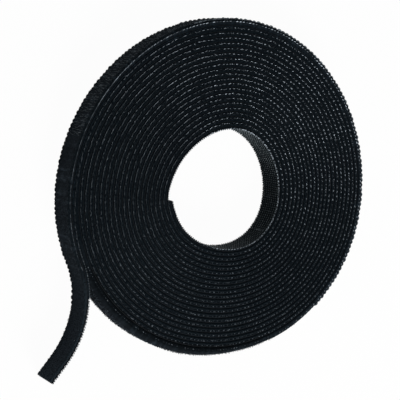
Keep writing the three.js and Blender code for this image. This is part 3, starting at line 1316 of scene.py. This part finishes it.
    def _fields(self, marks: Marks) -> list[YarnField]:
        """Lists the fields of hooks and loops on the faces.

        Args:
            marks: where the fields start and end.

        Returns:
            The fields.
        """
        line = self.line
        flap = line.winding.flap_angle
        last_turn = line.before_peel(line.winding.free_turn)
        thread = line.at_angle(marks.bore_thread)
        loops_start, loops_end = (line.before_peel(angle) for angle in marks.loops)
        nap_start, nap_end = (line.before_peel(angle) for angle in marks.nap)
        hook_face = self.tape.face(Side.HOOK)
        loop_face = self.tape.offsets(Layer.LOOP)[1]
        return [
            YarnField("hooks", Layer.HOOK, self.materials["hook_yarn"],
                      ((0.0, line.at_angle(360 + flap)),
                       (line.wound_length - marks.hooks_before_peel, line.length)),
                      spacing=0.8 * MM, rows=9, margin=0.36 * MM,
                      bend=((0, 0, 0), (0.04 * MM, 0, 0.56 * MM), (0.3 * MM, 0, 0.12 * MM)), bends=4,
                      yarn=0.11 * MM, sides=4, side=Side.HOOK, follows=Follows.TAPE,
                      base=hook_face + 0.02 * MM, twist=6, spread=0.08, jitter=0.02 * MM, seed=51),
            YarnField("cross_thread", Layer.HOOK, self.materials["selvedge_yarn"],
                      ((thread - marks.thread_half, thread + marks.thread_half),),
                      spacing=0.3 * MM, rows=12, margin=1.6 * MM,
                      bend=((-0.1 * MM, 0, 0), (0, 0, 0.3 * MM), (0.1 * MM, 0, 0)), bends=3,
                      yarn=0.06 * MM, sides=4, side=Side.HOOK, follows=Follows.TAPE,
                      base=hook_face - 0.2 * MM, twist=90, spread=0.2, jitter=0.05 * MM, seed=55),
            YarnField("edge_loops", Layer.LOOP, self.materials["crest_pile"], ((loops_start, loops_end),),
                      spacing=1.75 * MM, rows=2, margin=0.38 * MM,
                      bend=((-0.72 * MM, 0, 0), (0, 0, 0.85 * MM), (0.72 * MM, 0, 0)), bends=7,
                      yarn=0.24 * MM, sides=5, side=Side.LOOP, follows=Follows.PILE,
                      base=loop_face - 0.14 * MM, twist=7, spread=0.14, jitter=0.05 * MM, seed=61),
            YarnField("edge_nubs", Layer.LOOP, self.materials["loop_pile"],
                      ((loops_end, line.wound_length + marks.nubs_past_peel),),
                      spacing=1.5 * MM, rows=2, margin=0.34 * MM,
                      bend=((-0.5 * MM, 0, 0), (0, 0, 0.42 * MM), (0.5 * MM, 0, 0)), bends=5,
                      yarn=0.2 * MM, sides=5, side=Side.LOOP, follows=Follows.PILE,
                      base=loop_face - 0.1 * MM, twist=10, spread=0.2, jitter=0.06 * MM, seed=65),
            YarnField("nap", Layer.LOOP, self.materials["crest_pile"], ((nap_start, nap_end),),
                      spacing=0.75 * MM, rows=5, margin=1.7 * MM,
                      bend=((0, -0.8 * MM, 0), (0.1 * MM, 0, 0.42 * MM), (0, 0.8 * MM, 0)), bends=5,
                      yarn=0.12 * MM, sides=3, side=Side.LOOP, follows=Follows.PILE,
                      base=loop_face - 0.05 * MM, twist=14, spread=0.4, jitter=0.3 * MM, seed=75),
            YarnField("pile", Layer.LOOP, self.materials["brushed_pile"],
                      ((0.0, line.at_angle(flap)), (last_turn, line.length)),
                      spacing=0.7 * MM, rows=13, margin=0.85 * MM,
                      bend=((-0.24 * MM, 0, 0), (0, 0, 0.8 * MM), (0.24 * MM, 0, 0)), bends=4,
                      yarn=0.07 * MM, sides=3, side=Side.LOOP, follows=Follows.PILE,
                      base=loop_face - 0.08 * MM, twist=180, spread=0.25, jitter=0.25 * MM, seed=71),
        ]

    def _section(self, layer: Layer) -> bpy.types.Object:
        """Makes a layer's outline: a flat band with rounded selvedges.

        Args:
            layer: the layer of the laminate.

        Returns:
            An object that holds the closed outline, with offsets along X and the width along -Y.
        """
        low, high = self.tape.offsets(layer)
        inset = self.tape.film_inset if layer is Layer.BOND else self.tape.selvedge
        half = self.tape.width / 2 - inset
        corner = min(self.SELVEDGE_CORNER, (high - low) / 3)
        support = half - self.SELVEDGE_SUPPORT
        quarter = [(low, support), (low, half - corner), (low + corner, half)]
        upper = quarter + [(low + high - x, y) for x, y in reversed(quarter)]
        outline = np.array(upper + [(x, -y) for x, y in reversed(upper)])
        points = np.column_stack([outline, np.zeros(len(outline))])
        reach = np.where(np.abs(outline[:, 1]) > support, -np.sign(outline[:, 1]), 0.0)
        loft = ((outline[:, 0] > (low + high) / 2) & (layer is Layer.LOOP)).astype(float)
        numbers = {"reach": reach, "loft": loft, "shoulder": loft * np.abs(reach)}
        return line_object(f"{layer.value}_section", points, True, numbers)

    def _path(self, name: str, reach: Reach, offset: float, height: float,
              follows: Follows = Follows.TAPE) -> bpy.types.Object:
        """Makes a line beside the middle of the tape, and puts it in the scene.

        Args:
            name: the object's name.
            reach: where it starts and ends along the tape.
            offset: how far it lies from the middle, towards the loop side.
            height: how far it lies above the surface that the roll rests on.
            follows: what it keeps to.

        Returns:
            The object, whose points carry their distance along the tape, a wave, the pile's rise in the
            middle and at the selvedges, how far the selvedges stoop, whether the pile is free, how far the
            points are on the tail and their outward direction.
        """
        line = self.line
        along = np.linspace(*reach, max(2, round((reach[1] - reach[0]) / self.STRIP_STEP) + 1))
        swell = line.pile_rise(along)
        brim = line.edge_rise(along)
        teeth = np.where(np.arange(len(along)) % 2 == 0, 1.0, -1.0)
        fade = (along - line.wound_length) / self.TAIL_FADE - line.winding.fade_delay
        numbers = {
            "along": along,
            "wave": np.where(along > line.wound_length, self.TAIL_TEETH * (teeth - 1), teeth),
            "swell": swell,
            "brim": brim,
            "stoop": np.clip((swell - brim) / self.FULL_STOOP, 0, 1),
            "free": (along > line.before_peel(line.winding.free_turn)).astype(float),
            "tail": np.clip(fade, 0, 1),
            "outward": line.outward(along),
        }
        shifts = {Follows.TAPE: 0.0, Follows.PILE: swell, Follows.TURN_BELOW: -line.settled(along)}
        points = line.points(along, offset + shifts[follows], height)
        path = line_object(name, points, False, numbers)
        bpy.context.scene.collection.objects.link(path)
        return path

    def strip(self, stretch: Stretch, layer: Layer, material: bpy.types.Material) -> bpy.types.Object:
        """Makes one layer of a stretch.

        Args:
            stretch: the stretch of tape.
            layer: the layer.
            material: its material.

        Returns:
            The finished piece.
        """
        path = self._path(f"{stretch.name}_{layer.value}_strip", (stretch.start, stretch.end), 0.0,
                          self.tape.width / 2)
        section = self._section(layer)
        ripple = 0.0 if layer is Layer.BOND else self.RIPPLE
        piece = self.strip_tree.apply(path, {"Section": section, "Ripple": ripple, "Material": material})
        bpy.data.objects.remove(section)
        stretch.hold(piece, self.line)
        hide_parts(f"{stretch.name}_{layer.value}")
        return piece

    def row(self, stretch: Stretch, row: YarnRow, edge: Edge) -> bpy.types.Object | None:
        """Makes the part of a row of short yarns that lies along one selvedge of a stretch.

        Args:
            stretch: the stretch of tape that carries the row.
            row: the row.
            edge: the selvedge.

        Returns:
            The finished piece, or None where the row doesn't reach the stretch.
        """
        start, end = stretch.overlap(row.reach)
        if end - start < 2 * row.spacing:
            return None
        half = self.tape.width / 2
        height = half + edge.value * (half - row.inset)
        path = self._path(f"{stretch.name}_{row.name}_{edge.name.lower()}",
                          (start + row.spacing / 2, end - row.spacing / 2), row.offset, height, row.follows)
        piece = self.bead_tree.apply(path, {
            "Spacing": row.spacing, "Size": row.size, "Spread": row.spread, "Slant": math.radians(row.slant),
            "Tilt": math.radians(row.tilt), "Facing": edge.value, "Dullness": row.dullness,
            "Smooth": row.smooth, "Stray": row.stray, "Sway": row.sway, "Stretch": row.stretch,
            "Fade": row.fade, "Seed": row.seed, "Material": row.material})
        stretch.hold(piece, self.line)
        return piece

    def field(self, stretch: Stretch, field: YarnField) -> bpy.types.Object | None:
        """Makes the part of a field of hooks or loops that lies on a stretch.

        Args:
            stretch: the stretch of tape that carries the field.
            field: the field.

        Returns:
            The finished piece, or None where the field doesn't reach the stretch.
        """
        parts = [stretch.overlap(reach) for reach in field.reaches]
        start, end = max(parts, key=lambda part: part[1] - part[0])
        if end - start < 2 * field.spacing:
            return None
        path = self._path(f"{stretch.name}_{field.name}",
                          (start + field.spacing / 2, end - field.spacing / 2),
                          field.base, self.tape.width / 2, field.follows)
        first, middle, last = field.bend
        piece = self.tuft_tree.apply(path, {
            "Spacing": field.spacing, "Rows": field.rows, "Span": self.tape.width - 2 * field.margin,
            "Start": first, "Middle": middle, "End": last, "Bends": field.bends, "Yarn": field.yarn,
            "Sides": field.sides, "Facing": field.side.value, "Twist": math.radians(field.twist),
            "Spread": field.spread, "Jitter": field.jitter, "Seed": field.seed, "Material": field.material})
        stretch.hold(piece, self.line)
        return piece

    def build(self) -> list[bpy.types.Object]:
        """Makes every piece of the tape.

        Returns:
            The finished pieces.
        """
        return [piece for stretch in self.stretches for piece in self._stretch_pieces(stretch)]

    def _stretch_pieces(self, stretch: Stretch) -> list[bpy.types.Object]:
        """Makes the layers of one stretch with their yarns, hooks and pile.

        Args:
            stretch: the stretch of tape.

        Returns:
            The finished pieces.
        """
        pieces = []
        for layer, material in self.layers.items():
            strip = self.strip(stretch, layer, material)
            rows = [self.row(stretch, row, edge) for row in self.rows if row.layer is layer for edge in Edge]
            fields = [self.field(stretch, field) for field in self.fields if field.layer is layer]
            dressing = [piece for piece in rows + fields if piece is not None]
            pieces += [strip, *dressing]
        return pieces


@dataclass(frozen=True)
class Lamp:
    """A soft lamp: the way to it from the roll, its distance, size and power."""

    name: str
    towards: Triple
    distance: float
    size: float
    power: float

    def place(self, target: Vector) -> None:
        """Puts the lamp in the scene.

        Args:
            target: the point that it faces.
        """
        data = bpy.data.lights.new(self.name, "AREA")
        data.shape = "DISK"
        data.size = self.size
        data.energy = self.power
        lamp = bpy.data.objects.new(self.name, data)
        way = Vector(self.towards).normalized()
        lamp.location = target + way * self.distance
        lamp.rotation_euler = way.to_track_quat("Z", "Y").to_euler()
        bpy.context.scene.collection.objects.link(lamp)


@dataclass(frozen=True)
class Studio:
    """The floor, the light and the camera."""

    floor_half: float = 3.0
    floor_colour: Colour = (0.9, 0.9, 0.9)
    floor_white: float = 0.97
    ambient: float = 0.25
    lens: float = 101.13
    camera_from_axis: Triple = (-198.045 * MM, 69.794 * MM, 325.267 * MM)
    azimuth: float = 249.325
    elevation: float = 57.673
    roll: float = 102.892
    key: Lamp = Lamp("key_lamp", towards=(0.11, -0.85, 0.51), distance=0.9, size=0.45, power=8.5)

    def build(self, axis: np.ndarray, ground: float) -> None:
        """Makes the stage.

        Args:
            axis: the roll's axis in plan.
            ground: the height of the floor.
        """
        self._floor(ground)
        self._world()
        self.key.place(Vector((*axis, 0.0)))
        self._camera(axis)
        bpy.context.scene.view_settings.view_transform = "Standard"

    @staticmethod
    def _seen(tree: bpy.types.NodeTree) -> bpy.types.NodeSocket:
        """Adds the test for rays that show the background: from the camera, a gloss or a clear piece.

        Args:
            tree: the tree of the floor's material or of the world.

        Returns:
            1 for such a ray, 0 for others.
        """
        path = tree.nodes.new("ShaderNodeLightPath")
        total = path.outputs["Is Camera Ray"]
        for name in ("Is Glossy Ray", "Is Transmission Ray"):
            total = add_node(tree, "ShaderNodeMath", {0: total, 1: path.outputs[name]},
                             {"operation": "MAXIMUM"}).outputs[0]
        return total

    def _floor(self, ground: float) -> None:
        """Makes the pale floor, which shows as white but keeps the roll's shadow.

        Args:
            ground: the height of the floor.
        """
        half = self.floor_half
        mesh = bpy.data.meshes.new("floor")
        corners = [(-half, -half), (half, -half), (half, half), (-half, half)]
        mesh.from_pydata([(x, y, ground) for x, y in corners], [], [(0, 1, 2, 3)])
        floor = bpy.data.objects.new("floor", mesh)
        bpy.context.scene.collection.objects.link(floor)
        material = bpy.data.materials.new("floor")
        material.use_nodes = True
        tree = material.node_tree
        tree.nodes.remove(tree.nodes["Principled BSDF"])
        matte = add_node(tree, "ShaderNodeBsdfDiffuse", {"Color": (*self.floor_colour, 1.0)}, {})
        white = add_node(tree, "ShaderNodeEmission", {"Strength": 1.0}, {})
        share = add_node(tree, "ShaderNodeMath", {0: self._seen(tree), 1: self.floor_white},
                         {"operation": "MULTIPLY"})
        mix = add_node(tree, "ShaderNodeMixShader",
                       {0: share.outputs[0], 1: matte.outputs[0], 2: white.outputs[0]}, {})
        tree.links.new(mix.outputs[0], tree.nodes["Material Output"].inputs["Surface"])
        mesh.materials.append(material)
        floor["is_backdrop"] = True

    def _world(self) -> None:
        """Makes the even light from all round, with white behind it."""
        world = bpy.data.worlds.new("studio")
        world.use_nodes = True
        bpy.context.scene.world = world
        tree = world.node_tree
        light = tree.nodes["Background"]
        light.inputs["Color"].default_value = WHITE
        light.inputs["Strength"].default_value = self.ambient
        white = add_node(tree, "ShaderNodeBackground", {"Color": WHITE, "Strength": 1.0}, {})
        mix = add_node(tree, "ShaderNodeMixShader",
                       {0: self._seen(tree), 1: light.outputs[0], 2: white.outputs[0]}, {})
        tree.links.new(mix.outputs[0], tree.nodes["World Output"].inputs["Surface"])

    def _camera(self, axis: np.ndarray) -> None:
        """Makes the camera at the photograph's viewing angle.

        Args:
            axis: the roll's axis in plan.
        """
        azimuth, elevation = math.radians(self.azimuth), math.radians(self.elevation)
        flat = math.cos(elevation)
        back = Vector((math.sin(azimuth) * flat, -math.cos(azimuth) * flat, math.sin(elevation)))
        turn = Matrix.Rotation(math.radians(self.roll), 4, back)
        data = bpy.data.cameras.new("camera")
        data.lens = self.lens
        camera = bpy.data.objects.new("camera", data)
        camera.matrix_world = turn @ back.to_track_quat("Z", "Y").to_matrix().to_4x4()
        camera.location = Vector((*axis, 0.0)) + Vector(self.camera_from_axis)
        bpy.context.scene.collection.objects.link(camera)
        bpy.context.scene.camera = camera


def main() -> None:
    """Builds the tape and its stage, and reports each piece."""
    logging.basicConfig(level=logging.INFO, format="%(message)s")
    tape = TapeSection()
    peel = next(joint for joint in frame["joints"] if joint["name"] == "tail_peel")
    line = TapeLine(Winding(tape), Vector(peel["pos_m"]))
    pieces = TapeRoll(tape, line).build()
    for piece in pieces:
        LOG.info("%s: %d faces", piece.name, len(piece.data.polygons))
    Studio().build(line.axis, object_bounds()[0].z)


if __name__ == "__main__":
    main()
